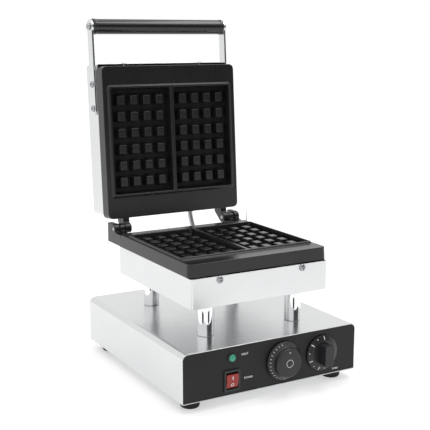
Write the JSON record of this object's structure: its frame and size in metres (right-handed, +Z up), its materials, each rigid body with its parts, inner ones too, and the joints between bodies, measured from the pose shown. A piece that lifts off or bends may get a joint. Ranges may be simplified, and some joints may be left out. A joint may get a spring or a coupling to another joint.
{
  "type": "waffle maker",
  "caption": "Waffle maker with an open hinged lid and bar handle, gridded cast plates on chromed columns, and a sheet-steel base with dials, a rocker switch and a lamp.",
  "frame": {"origin": "bottom centre of the bounding box with the lid open, on the surface the feet stand on", "axes": "+X to the right seen from the front, +Y to the back, +Z up"},
  "size_m": [0.29, 0.3976, 0.5288],
  "materials": {
    "housing_steel": "satin stainless sheet",
    "inner_steel": "plain zinc-plated steel",
    "panel_black": "fine satin black",
    "foot_rubber": "matt moulded",
    "column_chrome": "bright polished tube",
    "fastener_chrome": "nickel plated",
    "plate_cast": "black non-stick coating on a casting",
    "shield_aluminium": "mill finish",
    "black_plastic": "moulded, semi-matt",
    "grip_black": "glossy moulded tube",
    "rocker_red": "translucent red",
    "lens_green": "translucent green",
    "ceramic_white": "off-white heat-resistant block and sleeve",
    "capillary_brass": "plain drawn tube"
  },
  "bodies": {
    "root": {"base_housing": "housing_steel", "bottom_cover": "inner_steel", "front_panel": "panel_black", "foot_front_left": "foot_rubber", "foot_front_right": "foot_rubber", "foot_rear_left": "foot_rubber", "foot_rear_right": "foot_rubber", "thermostat_body": "inner_steel", "timer_body": "inner_steel", "switch_body": "black_plastic", "lamp_body": "black_plastic", "lamp_lens": "lens_green", "terminal_block": "ceramic_white", "cable_gland": "black_plastic", "column_front_left": "column_chrome", "column_front_right": "column_chrome", "column_rear_left": "column_chrome", "column_rear_right": "column_chrome", "column_bolt_front_left": "inner_steel", "column_bolt_front_right": "inner_steel", "column_nut_rear_left": "inner_steel", "column_nut_rear_right": "inner_steel", "wiring_loom": "ceramic_white", "thermostat_capillary": "capillary_brass", "lower_casing": "housing_steel", "lower_plate": "plate_cast", "lower_heater": "inner_steel", "lower_heat_shield": "shield_aluminium", "casing_screw_left": "fastener_chrome", "casing_screw_right": "fastener_chrome", "hinge_pin_left": "inner_steel", "hinge_pin_right": "inner_steel", "conduit_nut_lower": "fastener_chrome", "conduit": "inner_steel"},
    "lid": {"upper_plate": "plate_cast", "upper_casing": "housing_steel", "upper_heater": "inner_steel", "upper_heat_shield": "shield_aluminium", "handle_grip": "grip_black", "handle_rod": "inner_steel", "handle_arm_left": "housing_steel", "handle_arm_right": "housing_steel", "handle_nut_left": "fastener_chrome", "handle_nut_right": "fastener_chrome", "arm_screw_left_upper": "fastener_chrome", "arm_screw_left_lower": "fastener_chrome", "arm_screw_right_upper": "fastener_chrome", "arm_screw_right_lower": "fastener_chrome", "lid_screw_left": "fastener_chrome", "lid_screw_right": "fastener_chrome", "conduit_nut_upper": "fastener_chrome"},
    "thermostat": {"thermostat_knob": "black_plastic"},
    "timer": {"timer_knob": "black_plastic"},
    "rocker": {"power_rocker": "rocker_red"}
  },
  "joints": [
    {"name": "lid_hinge", "type": "hinge", "parent": "root", "child": "lid", "pos_m": [0, 0.11307, 0.20025], "axis": [1, 0, 0], "range_deg": [0, 94], "deforming": ["conduit"]},
    {"name": "thermostat_turn", "type": "hinge", "parent": "root", "child": "thermostat", "pos_m": [0.0175, -0.17733, 0.0495], "axis": [0, 1, 0], "range_deg": [0, 270]},
    {"name": "timer_turn", "type": "hinge", "parent": "root", "child": "timer", "pos_m": [0.084, -0.17733, 0.0495], "axis": [0, 1, 0], "range_deg": [0, 300]},
    {"name": "power_rock", "type": "hinge", "parent": "root", "child": "rocker", "pos_m": [-0.0675, -0.17433, 0.0355], "axis": [1, 0, 0], "range_deg": [-16, 0]}
  ]
}
